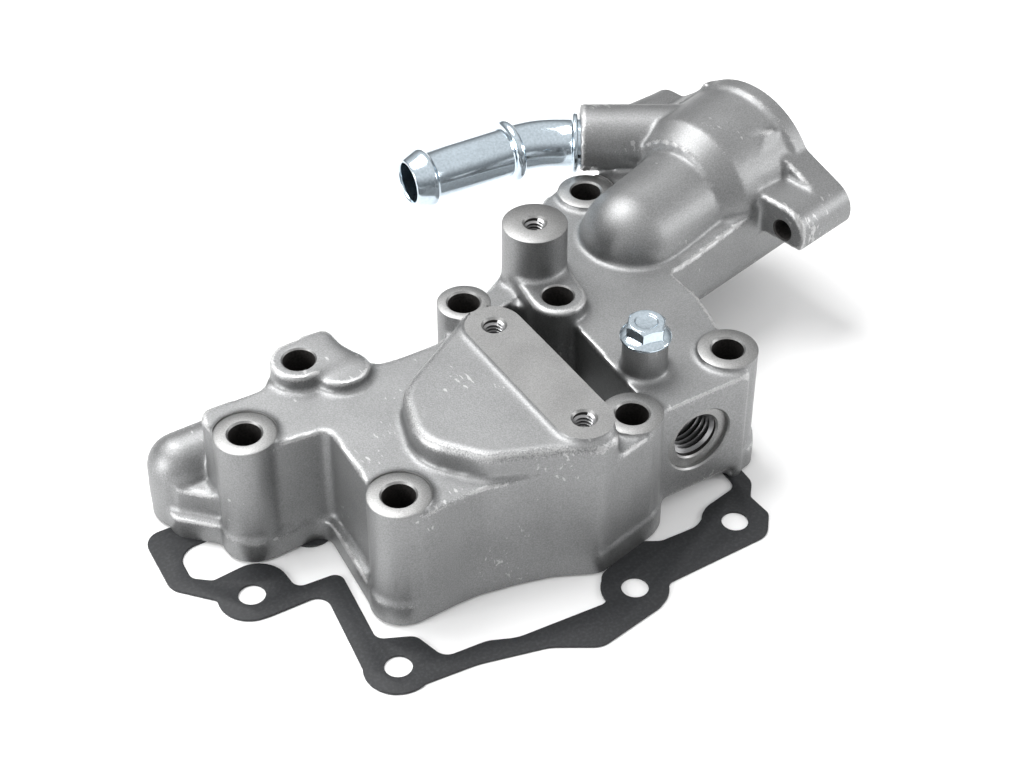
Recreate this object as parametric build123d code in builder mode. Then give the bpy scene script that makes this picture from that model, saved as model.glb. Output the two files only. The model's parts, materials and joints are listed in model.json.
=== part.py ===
"""Thermostat housing: a cast aluminium coolant housing with its gasket, nozzle, screw and thermostat.

Frame: the origin is on the axis of bolt hole F, in the gasket face. +Z points away from the engine,
-Y is the side of the sensor port, and the long wing of the casting runs towards -X.
"""
import os
from math import cos, radians, sin

from build123d import *

os.makedirs("parts", exist_ok=True)

# Levels above the gasket face
flange_height = 7.0
right_deck_height = 37.5
left_deck_height = 38.5
bolt_face_height = 39.2
lobe_height = 42.0
inner_boss_height = 42.5
rear_boss_height = 43.5
middle_boss_height = 45.5
plateau_height = 46.5
pad_height = 47.5
screw_boss_height = 48.2
stud_boss_height = 56.5

# Casting
wall = 4.0
boss_radius = 8.5
flange_boss_radius = 9.3
edge_chamfer = 0.5

# Round noses end in a tiny flat, so their arc stops just short of a quarter turn
nose_arc = 88.0

# Bolt holes: plan position, face height and radius of the boss
bolt_hole_radius = 4.5
bolt_holes = {
    "A": (-91.4, 47.6, bolt_face_height, boss_radius),
    "B": (-67.3, 62.2, rear_boss_height, 8.0),
    "C": (-68.4, 5.8, bolt_face_height, boss_radius),
    "D": (-17.8, 57.5, middle_boss_height, 7.6),
    "E": (8.2, 49.3, inner_boss_height, 8.2),
    "F": (0.0, 0.0, bolt_face_height, boss_radius),
    "G": (37.6, 8.1, bolt_face_height, boss_radius),
    "H": (45.1, 90.6, bolt_face_height, boss_radius),
}

# Rounded bulge over the water passage at the left end
bulge_y = 70.0
bulge_z = 15.5
bulge_radius = 9.1
bulge_centre = -102.2
bulge_end = -74.0
bulge_shoulder = [(-107.6, 64.0), (-107.6, 61.6), (-98.5, 52.2), (bulge_end, 56.0), (bulge_end, 64.0)]

# Rear lobe beside bolt hole B: two small ends against the bolt boss, and a lower round top in front
lobe_ends = [(-57.0, 67.4), (-56.6, 60.0)]
lobe_end_radius = 3.4
lobe_front = (-57.8, 55.6)
lobe_front_radius = 8.0

# Rounding of the cast plateau, and the low floor of the valley behind it
plateau_round = 2.5
valley_floor = [(-10.5, 3.0), (9.5, 59.0)]

# Small threaded holes, drawn at their thread's outer radius
small_thread_radius = 3.0
small_thread_depth = 12.0
thread_chamfer = 0.6

# Mounting pad, stud boss and screw boss
pad_radius = 8.0
pad_holes = [(-17.2, 42.3), (-17.2, -2.5)]
stud_boss = (10.8, 65.7)
stud_boss_radius = 9.4
stud_boss_draft = 0.5
screw_boss = (14.6, 15.5)
screw_boss_radius = 6.4

# Sensor port in the front face of the right block
port_x = 21.5
port_z = 21.0
port_radius = 7.0
port_seat_radius = 10.0
port_seat_depth = 1.6
port_depth = 17.0
port_face_y = -2.6
port_foot_height = 3.6
port_foot_y = 0.8
port_foot_side = 34.0

# Neck that holds the thermostat
neck_angle = 12.0
neck_offset = 59.1
neck_z = 37.0
neck_radius = 24.6
neck_flank = 24.0
neck_step_radius = 23.4
neck_start = 45.0
neck_back = 110.0
neck_floor_front = 13.4
neck_floor_back = 15.2
neck_floor_round = 9.0
ledge_start = 60.0
ledge_rise = 3.5
step_front = 81.0
step_back = 88.0
step_radius = 19.3
step_offset = 58.6
neck_trim_height = 14.4
dome_centre = 58.5
dome_offset = 55.2
dome_radius = 15.8
dome_back_offset = 56.7
dome_back_radius = 17.2

# Mouth flange with its two ears
mouth_face = 114.8
mouth_radius = 25.5
rim_thickness = 4.8
web_thickness = 9.5
web_root_radius = 20.6
ear_spacing = 32.4
ear_radius = 8.2
ear_length = 22.0
ear_hole_radius = 3.1
near_ear_floor = 4.4
far_ear_draft = 5.0
far_web_foot = 28.5
far_web_top = 15.0

# Water chambers: the corners of the two deep stretches of the opening, and a round pocket under the plateau
left_chamber = [(-80.5, -20.0), (-13.0, 51.5)]
right_chamber = [(11.5, -20.0), (71.5, 120.0)]
pocket_centre = (-33.0, 22.0)
pocket_radius = 18.0

# Water way inside the neck
bore_radius = 18.5
bore_end = 91.0
inner_bore_radius = 12.0
inner_bore_offset = 56.0
inner_bore_start = 47.3
inner_bore_point = 7.2
inner_bore_tip = 1.0
seat_radius = 21.5
seat_depth = 5.0

# Nozzle boss and tube
nozzle_angle = 148.0
nozzle_boss_face = (53.6, 107.1, 45.9)
nozzle_boss_radius = 10.2
nozzle_boss_length = 40.0
nozzle_start = (53.1, 106.3, 44.5)
nozzle_depth = 12.0
nozzle_stub = 14.0
nozzle_end = (-2.2, 116.1)
nozzle_bend_radius = 25.0
tube_radius = 7.4
tube_wall = 1.3
press_gap = 0.02
shoulder_radius = 9.3
shoulder_gap = 0.8
shoulder_width = 1.6
collar_radius = 9.6
collar_length = 1.9
collar_crown = 0.6
collar_distance = 34.7
barb_radius = 9.0
barb_length = 5.0
barb_land = 1.0
barb_run_out = 1.4
barb_tip_radius = 7.0

# Gasket, lying where it was laid under the housing
gasket_thickness = 0.8
gasket_hole_radius = 3.75
gasket_land = 2.5
gasket_recess = [(-79.0, 49.0), (-64.0, 46.0), (-54.0, 49.6), (-60.0, 57.5), (-75.0, 58.5), (-80.0, 66.0)]
gasket_place = (-13.2, -23.1)
gasket_turn = -3.0

# Screw in the screw boss
screw_flange_radius = 7.2
screw_flange_edge = 1.0
screw_flange_height = 1.9
screw_flange_slope = 55.0
screw_head_chamfer = 0.15
screw_chamfer_angle = 60.0
screw_head_height = 5.6
screw_across_flats = 10.0
screw_head_turn = 48.0
screw_shank_radius = 2.95
screw_shank_length = 12.0

# Thermostat in the mouth
seal_radius = 21.45
seal_inner_radius = 18.7
seal_thickness = 4.8
plate_face = mouth_face - 2.1
plate_radius = 20.2
plate_thickness = 1.2
plate_opening = 13.2
strap_width = 8.0
strap_height = 8.0
strap_foot = 15.8
strap_top = 6.5
seat_gap = 0.05
slide_gap = 0.05
valve_radius = 14.1
valve_thickness = 1.2
capsule_shoulder = plate_face - plate_thickness - valve_thickness - 2 * seat_gap
capsule_radius = 5.5
capsule_length = 26.0
capsule_chamfer = 1.5
capsule_neck_radius = 4.0
capsule_neck_length = 4.4
capsule_bore_depth = 14.0
pin_radius = 1.6
bracket_leg = 15.0
bracket_floor = 92.5
bracket_seat_radius = 11.5
spring_radius = 9.5
wire_radius = 0.7
spring_turns = 4
spring_sides = 12
wire_sides = 8


def neck_point(along, aside, height):
    """A point given along the neck, across it (away from the port side) and above the gasket face."""
    turn = radians(neck_angle)
    return (along * cos(turn) - aside * sin(turn), along * sin(turn) + aside * cos(turn), height)


def neck_plane(along, aside=neck_offset, height=neck_z):
    """A plane square to the neck: its X runs across the neck, its Y up and its Z out of the mouth."""
    turn = radians(neck_angle)
    return Plane(origin=neck_point(along, aside, height), x_dir=(-sin(turn), cos(turn), 0),
                 z_dir=(cos(turn), sin(turn), 0))


def neck_side_plane(height=0.0):
    """The upright plane through the neck's axis: its X runs out of the mouth and its Y up."""
    turn = radians(neck_angle)
    return Plane(origin=neck_point(0, neck_offset, height), x_dir=(cos(turn), sin(turn), 0),
                 z_dir=(sin(turn), -cos(turn), 0))


def nozzle_plane(origin):
    """A plane square to the nozzle boss, with its Z pointing into the casting."""
    turn = radians(nozzle_angle)
    return Plane(origin=origin, z_dir=(-cos(turn), -sin(turn), 0))


def closed_outline(corners):
    """Draw a closed outline through corner points, each rounded by its own radius."""
    points = [point for point, rounding in corners]
    FilletPolyline(*points, radius=[rounding for point, rounding in corners], close=True)


def box_outline(corners, mode=Mode.ADD):
    """Draw a rectangle between its lowest and its highest corner."""
    low, high = corners
    Polygon(low, (high[0], low[1]), high, (low[0], high[1]), align=None, mode=mode)


# Outlines in plan: corner points, each with its rounding
flange_outline = [
    ((-109.8, 60.0), 6.0), ((-100.6, 50.5), 1.5), ((-99.5, 42.0), 5.0), ((-91.0, 38.2), 6.0),
    ((-74.0, 38.6), 4.0), ((-77.4, 4.0), 3.0), ((-73.0, -2.4), 5.0), ((-50.0, -3.4), 20.0),
    ((-30.5, -7.4), 12.0), ((-18.5, -14.0), 6.0), ((3.0, -9.2), 6.0), ((9.5, -2.9), 2.5),
    ((42.5, -0.9), 6.0), ((47.6, 6.0), 3.0), ((46.8, 14.0), 2.0), ((50.6, 19.0), 5.0),
    ((50.6, 60.0), 10.0), ((56.0, 88.0), 8.0), ((46.0, 101.0), 8.0), ((34.0, 98.0), 6.0),
    ((4.0, 77.0), 8.0), ((-5.0, 66.5), 6.0), ((-20.0, 67.5), 6.0), ((-30.0, 58.5), 6.0),
    ((-46.0, 59.5), 6.0), ((-55.0, 73.0), 6.0), ((-76.0, 73.0), 6.0), ((-84.0, 82.0), 6.0),
    ((-109.2, 82.0), 5.0),
]

opening_outline = [
    ((45.5, 19.6), 3.5), ((36.5, 17.4), 5.0), ((27.0, 11.4), 7.0), ((15.5, 11.4), 5.0),
    ((9.5, 14.6), 3.0), ((-6.0, 8.2), 4.0), ((-9.0, -1.2), 3.0), ((-36.5, -0.5), 12.0),
    ((-44.0, 2.4), 8.0), ((-56.5, 2.8), 4.0), ((-59.6, 13.0), 4.0), ((-69.2, 17.0), 3.0),
    ((-67.0, 43.6), 3.0), ((-79.9, 44.0), 3.0), ((-81.0, 59.4), 9.0), ((-98.5, 57.4), 2.0),
    ((-103.4, 61.0), 3.0), ((-103.0, 72.4), 6.0), ((-85.8, 72.6), 4.0), ((-77.8, 64.5), 4.0),
    ((-76.4, 54.6), 5.0), ((-66.0, 50.6), 6.0), ((-8.0, 46.4), 6.0), ((2.0, 38.6), 4.0),
    ((14.0, 38.6), 5.0), ((19.2, 46.0), 4.0), ((21.5, 66.0), 8.0), ((28.0, 80.4), 5.0),
    ((46.0, 79.6), 5.0),
]

left_outline = [
    ((-98.5, 62.8), 4.0), ((-98.5, 42.8), 3.0), ((-84.5, 40.0), 3.0), ((-71.6, 38.0), 2.5),
    ((-73.6, 4.0), 3.0), ((-68.0, -3.4), 4.0), ((-48.0, -3.0), 12.0), ((-30.0, -8.2), 10.0),
    ((-18.5, -13.6), 5.0), ((4.0, -8.4), 4.0), ((0.0, 8.0), 3.0), ((-7.6, 9.5), 3.0),
    ((-9.2, 60.0), 3.0), ((-30.0, 53.4), 8.0), ((-47.0, 54.2), 6.0), ((-56.0, 66.0), 5.0),
    ((-75.0, 66.0), 6.0), ((-79.0, 61.8), 4.0),
]

plateau_outline = [
    ((-9.0, 51.0), 3.0), ((-7.4, 26.0), 30.0), ((-8.4, -3.0), 4.0), ((-12.5, -12.3), 4.0),
    ((-18.5, -13.6), 4.0), ((-30.0, -8.2), 8.0), ((-46.0, -1.5), 12.0), ((-58.5, 14.0), 14.0),
    ((-52.0, 34.0), 16.0), ((-24.0, 50.5), 8.0),
]

right_outline = [
    ((-2.0, 58.0), 2.0), ((8.5, 42.0), 4.0), ((6.0, 0.0), 2.0), ((6.8, port_face_y), 1.0),
    ((38.0, port_face_y), 2.0), ((41.0, 13.0), 4.0), ((45.9, 34.0), 15.0), ((44.4, 54.0), 6.0),
    ((58.0, 88.0), 6.0), ((46.0, 99.0), 6.0), ((34.0, 96.0), 6.0), ((5.0, 74.5), 6.0),
]

rear_web_outline = [
    ((-20.0, 52.0), 1.0), ((-7.0, 56.5), 2.0), ((4.0, 60.0), 2.0), ((6.0, 72.5), 2.0), ((-5.0, 66.0), 6.0),
    ((-20.0, 62.0), 1.0),
]

with BuildPart() as flange:
    with BuildSketch():
        with BuildLine():
            closed_outline(flange_outline)
        make_face()
        for x, y, height, radius in bolt_holes.values():
            with Locations((x, y)):
                Circle(flange_boss_radius)
    extrude(amount=flange_height)

with BuildPart() as left_block:
    with BuildSketch():
        with BuildLine():
            closed_outline(left_outline)
        make_face()
    extrude(amount=left_deck_height)

with BuildPart() as bulge:
    with BuildSketch(Plane.XY.offset(bulge_z)):
        with BuildLine():
            bulge_side = Line((bulge_end, bulge_y + bulge_radius), (bulge_centre, bulge_y + bulge_radius))
            bulge_nose = JernArc(bulge_side @ 1, (-1, 0), bulge_radius, nose_arc)
            Polyline(bulge_nose @ 1, ((bulge_nose @ 1).X, bulge_y), (bulge_end, bulge_y), bulge_side @ 0)
        make_face()
    revolve(axis=Axis((0, bulge_y, bulge_z), (1, 0, 0)), revolution_arc=180)
    with BuildSketch():
        with Locations((bulge_centre, bulge_y)):
            Circle(bulge_radius)
            Rectangle(bulge_end - bulge_centre, 2 * bulge_radius, align=(Align.MIN, Align.CENTER))
        Polygon(*bulge_shoulder, align=None)
    extrude(amount=bulge_z)

with BuildPart() as plateau:
    with BuildSketch():
        with BuildLine():
            closed_outline(plateau_outline)
        make_face()
    extrude(amount=plateau_height)
    fillet(plateau.faces().sort_by(Axis.Z)[-1].edges(), plateau_round)

with BuildPart() as pad:
    with BuildSketch(Plane.XY.offset(plateau_height - wall)):
        with Locations(((pad_holes[0][0] + pad_holes[1][0]) / 2, (pad_holes[0][1] + pad_holes[1][1]) / 2)):
            SlotCenterToCenter(pad_holes[0][1] - pad_holes[1][1], 2 * pad_radius, rotation=90)
    extrude(amount=pad_height - plateau_height + wall)

with BuildPart() as rear_lobe:
    with BuildSketch():
        with Locations(bolt_holes["B"][:2]):
            Circle(bolt_holes["B"][3])
        with Locations(*lobe_ends):
            Circle(lobe_end_radius)
        make_hull()
    extrude(amount=rear_boss_height)
    with BuildSketch():
        with Locations(lobe_front):
            Circle(lobe_front_radius)
    extrude(amount=lobe_height)

with BuildPart() as right_block:
    with BuildSketch():
        with BuildLine():
            closed_outline(right_outline)
        make_face()
    extrude(amount=right_deck_height)

with BuildPart() as rear_web:
    with BuildSketch():
        with BuildLine():
            closed_outline(rear_web_outline)
        make_face()
    extrude(amount=left_deck_height)
    with BuildSketch():
        box_outline(valley_floor)
    extrude(amount=bulge_z)

with BuildPart() as inner_web:
    with BuildSketch():
        with Locations(bolt_holes["E"][:2], stud_boss):
            Circle(bolt_holes["E"][3])
        make_hull()
    extrude(amount=inner_boss_height)

with BuildPart() as neck_base:
    with BuildSketch(neck_side_plane()):
        Polygon((neck_start, neck_floor_front), (neck_back, neck_floor_back),
                (neck_back, neck_z + ledge_rise), (step_back, neck_z + ledge_rise),
                (ledge_start, right_deck_height), (neck_start, right_deck_height), align=None)
    extrude(amount=neck_flank, both=True)
    neck_floor = neck_base.faces().sort_by(Axis.Z)[0]
    fillet(neck_floor.edges().filter_by(GeomType.LINE).sort_by(SortBy.LENGTH)[-2:], neck_floor_round)

with BuildPart() as neck:
    with BuildSketch(neck_plane(step_front, step_offset)):
        Circle(step_radius)
    with BuildSketch(neck_plane(step_back)):
        Circle(neck_step_radius)
    with BuildSketch(neck_plane(neck_back)):
        Circle(neck_radius)
    loft(ruled=True)
    with BuildSketch(Plane(origin=neck_point(neck_back, neck_offset, 0))):
        Rectangle(4 * neck_radius, 4 * neck_radius)
    extrude(amount=neck_trim_height, mode=Mode.SUBTRACT)

with BuildPart() as dome:
    dome_start = Vector(neck_point(dome_centre, dome_offset, neck_z))
    dome_run = Vector(neck_point(step_front, dome_back_offset, neck_z)) - dome_start
    with BuildSketch(Plane(origin=dome_start, x_dir=dome_run, z_dir=(0, 0, 1))):
        with BuildLine():
            dome_nose = CenterArc((0, 0), dome_radius, 90, nose_arc)
            Polyline(dome_nose @ 1, ((dome_nose @ 1).X, 0), (dome_run.length, 0),
                     (dome_run.length, dome_back_radius), dome_nose @ 0)
        make_face()
    revolve(axis=Axis(dome_start, dome_run))

with BuildPart() as mouth:
    with BuildSketch(neck_plane(mouth_face)):
        Circle(mouth_radius)
    extrude(amount=-rim_thickness)
    with BuildSketch(neck_plane(mouth_face)):
        Circle(web_root_radius)
        with Locations((-ear_spacing, 0)):
            Circle(ear_radius)
        make_hull()
        with Locations((-ear_spacing, -near_ear_floor)):
            Rectangle(neck_radius, neck_radius, align=(Align.CENTER, Align.MAX), mode=Mode.SUBTRACT)
    extrude(amount=-web_thickness)
    with BuildSketch(neck_plane(mouth_face)):
        Polygon((0, far_web_top), (far_web_foot - ear_radius, far_web_top), (far_web_foot, ear_radius),
                (ear_spacing, ear_radius), (ear_spacing, -ear_radius), (far_web_foot, -ear_radius),
                (far_web_foot - ear_radius, -far_web_top), (0, -far_web_top), align=None)
        with Locations((ear_spacing, 0)):
            Circle(ear_radius)
    extrude(amount=-web_thickness)
    with BuildSketch(neck_plane(mouth_face)):
        with Locations((-ear_spacing, 0)):
            Circle(ear_radius)
        with Locations((-ear_spacing / 2, 0)):
            Rectangle(ear_spacing, 2 * ear_radius)
        with Locations((-ear_spacing, -near_ear_floor)):
            Rectangle(neck_radius, neck_radius, align=(Align.CENTER, Align.MAX), mode=Mode.SUBTRACT)
    extrude(amount=-ear_length)
    with BuildSketch(neck_plane(mouth_face)):
        with Locations((ear_spacing, 0)):
            Circle(ear_radius)
        with Locations((ear_spacing / 2, 0)):
            Rectangle(ear_spacing, 2 * ear_radius)
    extrude(amount=-ear_length, taper=-far_ear_draft)

with BuildPart() as nozzle_boss:
    with BuildSketch(nozzle_plane(nozzle_boss_face)):
        Circle(nozzle_boss_radius)
    extrude(amount=nozzle_boss_length)

with BuildPart() as cavity:
    with BuildSketch():
        with BuildLine():
            closed_outline(opening_outline)
        make_face()
    extrude(amount=bulge_z - wall)
    with BuildSketch():
        with BuildLine():
            closed_outline(opening_outline)
        make_face()
        box_outline(left_chamber, Mode.INTERSECT)
    extrude(amount=left_deck_height - wall)
    with BuildSketch():
        with BuildLine():
            closed_outline(opening_outline)
        make_face()
        box_outline(right_chamber, Mode.INTERSECT)
    extrude(amount=right_deck_height - wall)
    with BuildSketch():
        with Locations(pocket_centre):
            Circle(pocket_radius)
    extrude(amount=plateau_height - wall)
    with BuildSketch(neck_plane(mouth_face)):
        Circle(seat_radius)
    extrude(amount=-seat_depth)
    with BuildSketch(neck_plane(mouth_face)):
        Circle(bore_radius)
    extrude(amount=bore_end - mouth_face)
    inner_bore_length = bore_end - inner_bore_start
    with BuildSketch(neck_side_plane(neck_z).offset(neck_offset - inner_bore_offset)):
        with Locations((inner_bore_start, 0)):
            Polygon((0, 0), (0, inner_bore_tip), (inner_bore_point, inner_bore_radius),
                    (inner_bore_length, inner_bore_radius), (inner_bore_length, 0), align=None)
    revolve(axis=Axis(neck_point(inner_bore_start, inner_bore_offset, neck_z), neck_plane(0).z_dir))

with BuildPart() as housing:
    add(flange.part)
    add(left_block.part)
    add(right_block.part)
    add(rear_web.part)
    add(bulge.part)
    add(neck_base.part)
    add(neck.part)
    add(dome.part)
    add(mouth.part)
    add(nozzle_boss.part)
    add(plateau.part)
    add(pad.part)
    add(rear_lobe.part)
    add(inner_web.part)
    add(cavity.part, mode=Mode.SUBTRACT)
    with BuildSketch():
        with Locations((port_foot_side, port_foot_y)):
            Rectangle(port_foot_side - flange_boss_radius, wall, align=(Align.MAX, Align.MAX))
    extrude(amount=port_foot_height, mode=Mode.SUBTRACT)
    for x, y, height, radius in bolt_holes.values():
        with BuildSketch():
            with Locations((x, y)):
                Circle(radius)
        extrude(amount=height)
    with BuildSketch(Plane.XY.offset(stud_boss_height)):
        with Locations(stud_boss):
            Circle(stud_boss_radius)
    extrude(amount=-stud_boss_height, taper=-stud_boss_draft)
    with BuildSketch(Plane.XY.offset(screw_boss_height)):
        with Locations(screw_boss):
            Circle(screw_boss_radius)
    extrude(amount=right_deck_height - wall - screw_boss_height)
    for x, y, height, radius in bolt_holes.values():
        with BuildSketch():
            with Locations((x, y)):
                Circle(bolt_hole_radius)
        extrude(amount=height, mode=Mode.SUBTRACT)
        with BuildSketch(Plane.XY.offset(height)):
            with Locations((x, y)):
                Circle(bolt_hole_radius + edge_chamfer)
        extrude(amount=-edge_chamfer, taper=45, mode=Mode.SUBTRACT)
    screw_hole_depth = screw_boss_height - right_deck_height + 2 * wall
    for (x, y), height, depth in [(pad_holes[0], pad_height, small_thread_depth),
                                  (pad_holes[1], pad_height, small_thread_depth),
                                  (stud_boss, stud_boss_height, small_thread_depth),
                                  (screw_boss, screw_boss_height, screw_hole_depth)]:
        with BuildSketch(Plane.XY.offset(height)):
            with Locations((x, y)):
                Circle(small_thread_radius)
        extrude(amount=-depth, mode=Mode.SUBTRACT)
        with BuildSketch(Plane.XY.offset(height)):
            with Locations((x, y)):
                Circle(small_thread_radius + thread_chamfer)
        extrude(amount=-thread_chamfer, taper=45, mode=Mode.SUBTRACT)
    with BuildSketch(Plane(origin=(port_x, port_face_y, port_z), z_dir=(0, 1, 0))):
        Circle(port_seat_radius)
    extrude(amount=port_seat_depth, mode=Mode.SUBTRACT)
    with BuildSketch(Plane(origin=(port_x, port_face_y, port_z), z_dir=(0, 1, 0))):
        Circle(port_radius)
    extrude(amount=port_depth, mode=Mode.SUBTRACT)
    with BuildSketch(neck_plane(mouth_face)):
        with Locations((-ear_spacing, 0), (ear_spacing, 0)):
            Circle(ear_hole_radius)
    extrude(amount=-ear_length, mode=Mode.SUBTRACT)
    with BuildSketch(nozzle_plane(nozzle_start)):
        Circle(tube_radius + press_gap)
    extrude(amount=nozzle_depth, mode=Mode.SUBTRACT)
    with BuildSketch(nozzle_plane(nozzle_start)):
        Circle(tube_radius - tube_wall)
    extrude(amount=nozzle_boss_length, mode=Mode.SUBTRACT)

with BuildPart() as gasket:
    turn = radians(gasket_turn)
    with BuildSketch(Plane(origin=(gasket_place[0], gasket_place[1], -gasket_thickness),
                           x_dir=(cos(turn), sin(turn), 0), z_dir=(0, 0, 1))):
        with BuildLine():
            closed_outline(flange_outline)
        make_face()
        with BuildLine():
            closed_outline(opening_outline)
        make_face(mode=Mode.SUBTRACT)
        Polygon(*gasket_recess, align=None, mode=Mode.SUBTRACT)
        for hole, (x, y, height, radius) in bolt_holes.items():
            with Locations((x, y)):
                Circle(gasket_hole_radius + gasket_land if hole == "B" else flange_boss_radius)
        for x, y, height, radius in bolt_holes.values():
            with Locations((x, y)):
                Circle(gasket_hole_radius, mode=Mode.SUBTRACT)
    extrude(amount=gasket_thickness)

with BuildPart() as hose_nozzle:
    turn = radians(nozzle_angle)
    inner_end = (nozzle_start[0] - nozzle_depth * cos(turn), nozzle_start[1] - nozzle_depth * sin(turn))
    nozzle_bend = (nozzle_start[0] + nozzle_stub * cos(turn), nozzle_start[1] + nozzle_stub * sin(turn))
    with BuildLine(Plane.XY.offset(nozzle_start[2])) as tube_path:
        FilletPolyline(inner_end, nozzle_bend, nozzle_end, radius=nozzle_bend_radius)
    with BuildSketch(Plane(origin=tube_path.line @ 0, z_dir=tube_path.line % 0)):
        Circle(tube_radius)
    sweep(path=tube_path.line)
    collar_rise = collar_radius - tube_radius + tube_wall / 2
    tube_tip = Plane(origin=tube_path.line @ 1, x_dir=(tube_path.line % 1) * -1, z_dir=(0, 0, 1))
    barb_foot = barb_length + barb_land + barb_run_out
    with BuildSketch(tube_tip):
        Polygon((0, 0), (0, barb_tip_radius), (barb_length, barb_radius),
                (barb_length + barb_land, barb_radius), (barb_foot, tube_radius), (barb_foot, 0), align=None)
        with Locations((collar_distance, tube_radius - tube_wall / 2)):
            Polygon((-collar_length, 0), (-collar_crown, collar_rise), (collar_crown, collar_rise),
                    (collar_length, 0), align=None)
    revolve(axis=Axis(tube_tip.origin, tube_tip.x_dir))
    with BuildSketch(nozzle_plane(nozzle_start).offset(-shoulder_gap - shoulder_width)):
        Circle(shoulder_radius)
    extrude(amount=shoulder_width)
    with BuildSketch(Plane(origin=tube_path.line @ 0, z_dir=tube_path.line % 0)):
        Circle(tube_radius - tube_wall)
    sweep(path=tube_path.line, mode=Mode.SUBTRACT)

with BuildPart() as hex_head:
    with BuildSketch(Plane.XY.offset(screw_boss_height + screw_flange_edge)):
        with Locations(screw_boss):
            RegularPolygon(screw_across_flats / 2, 6, major_radius=False, rotation=screw_head_turn)
    extrude(amount=screw_head_height - screw_flange_edge)
    with BuildSketch(Plane.XY.offset(screw_boss_height + screw_head_height)):
        with Locations(screw_boss):
            Circle(screw_across_flats / 2 - screw_head_chamfer)
    extrude(amount=-screw_head_height, taper=-screw_chamfer_angle, mode=Mode.INTERSECT)

with BuildPart() as bleed_screw:
    with BuildSketch(Plane.XY.offset(screw_boss_height)):
        with Locations(screw_boss):
            Circle(screw_flange_radius)
    extrude(amount=screw_flange_edge)
    with BuildSketch(Plane.XY.offset(screw_boss_height + screw_flange_edge)):
        with Locations(screw_boss):
            Circle(screw_flange_radius)
    extrude(amount=screw_flange_height - screw_flange_edge, taper=screw_flange_slope)
    with BuildSketch(Plane.XY.offset(screw_boss_height)):
        with Locations(screw_boss):
            Circle(screw_shank_radius)
    extrude(amount=-screw_shank_length)
    chamfer(bleed_screw.faces().sort_by(Axis.Z)[0].edges(), thread_chamfer)
    add(hex_head.part)

with BuildPart() as thermostat_seal:
    with BuildSketch(neck_plane(mouth_face - seat_depth)):
        Circle(seal_radius)
        Circle(seal_inner_radius, mode=Mode.SUBTRACT)
    extrude(amount=seal_thickness)
    with BuildSketch(neck_plane(plate_face + slide_gap)):
        Circle(plate_radius + slide_gap)
    extrude(amount=-plate_thickness - 2 * slide_gap, mode=Mode.SUBTRACT)

with BuildPart() as thermostat_frame:
    strap_start = plate_face - plate_thickness / 2
    with BuildSketch(neck_plane(plate_face)):
        Circle(plate_radius)
        Circle(plate_opening, mode=Mode.SUBTRACT)
    extrude(amount=-plate_thickness)
    with BuildSketch(neck_side_plane(neck_z)):
        with BuildLine():
            FilletPolyline((strap_start, -strap_foot), (plate_face + strap_height, -strap_top),
                           (plate_face + strap_height, strap_top), (strap_start, strap_foot),
                           radius=2 * plate_thickness)
            offset(amount=-plate_thickness, side=Side.LEFT)
        make_face()
    extrude(amount=strap_width / 2, both=True)
    with BuildSketch(neck_plane(plate_face + strap_height)):
        Circle(pin_radius)
    extrude(amount=-strap_height / 2, mode=Mode.SUBTRACT)

with BuildPart() as thermostat_valve:
    with BuildSketch(neck_plane(plate_face - plate_thickness - seat_gap)):
        Circle(valve_radius)
        Circle(capsule_neck_radius, mode=Mode.SUBTRACT)
    extrude(amount=-valve_thickness)

with BuildPart() as wax_capsule:
    with BuildSketch(neck_plane(capsule_shoulder)):
        Circle(capsule_radius)
    extrude(amount=-capsule_length)
    capsule_axis = Axis(neck_point(0, neck_offset, neck_z), neck_plane(0).z_dir)
    chamfer(wax_capsule.edges().sort_by(capsule_axis)[0], capsule_chamfer)
    with BuildSketch(neck_plane(capsule_shoulder)):
        Circle(capsule_neck_radius)
    extrude(amount=capsule_neck_length)
    with BuildSketch(neck_plane(capsule_shoulder + capsule_neck_length)):
        Circle(pin_radius + slide_gap)
    extrude(amount=-capsule_bore_depth, mode=Mode.SUBTRACT)

with BuildPart() as piston_pin:
    pin_end = capsule_shoulder + capsule_neck_length - capsule_bore_depth + seat_gap
    with BuildSketch(neck_plane(plate_face + strap_height)):
        Circle(pin_radius)
    extrude(amount=pin_end - plate_face - strap_height)

with BuildPart() as spring_bracket:
    with BuildSketch(neck_plane(bracket_floor)):
        Circle(bracket_seat_radius)
        Rectangle(2 * bracket_leg, strap_width)
        Circle(capsule_radius + slide_gap, mode=Mode.SUBTRACT)
    extrude(amount=-plate_thickness)
    with BuildSketch(neck_plane(bracket_floor - plate_thickness)):
        with Locations((-bracket_leg - plate_thickness / 2, 0), (bracket_leg + plate_thickness / 2, 0)):
            Rectangle(plate_thickness, strap_width)
    extrude(amount=plate_face - bracket_floor)

with BuildPart() as main_spring:
    coil_start = bracket_floor + wire_radius + seat_gap
    coil_length = capsule_shoulder - seat_gap - wire_radius - coil_start
    coil_points = []
    for step in range(spring_turns * spring_sides + 1):
        turn = radians(360 * step / spring_sides)
        along = coil_start + coil_length * step / (spring_turns * spring_sides)
        aside = neck_offset + spring_radius * cos(turn)
        coil_points.append(neck_point(along, aside, neck_z + spring_radius * sin(turn)))
    with BuildLine() as coil:
        Polyline(*coil_points)
    with BuildSketch(Plane(origin=coil.line @ 0, z_dir=coil.line % 0)):
        RegularPolygon(wire_radius, wire_sides)
    sweep(path=coil.line, transition=Transition.RIGHT)

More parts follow.
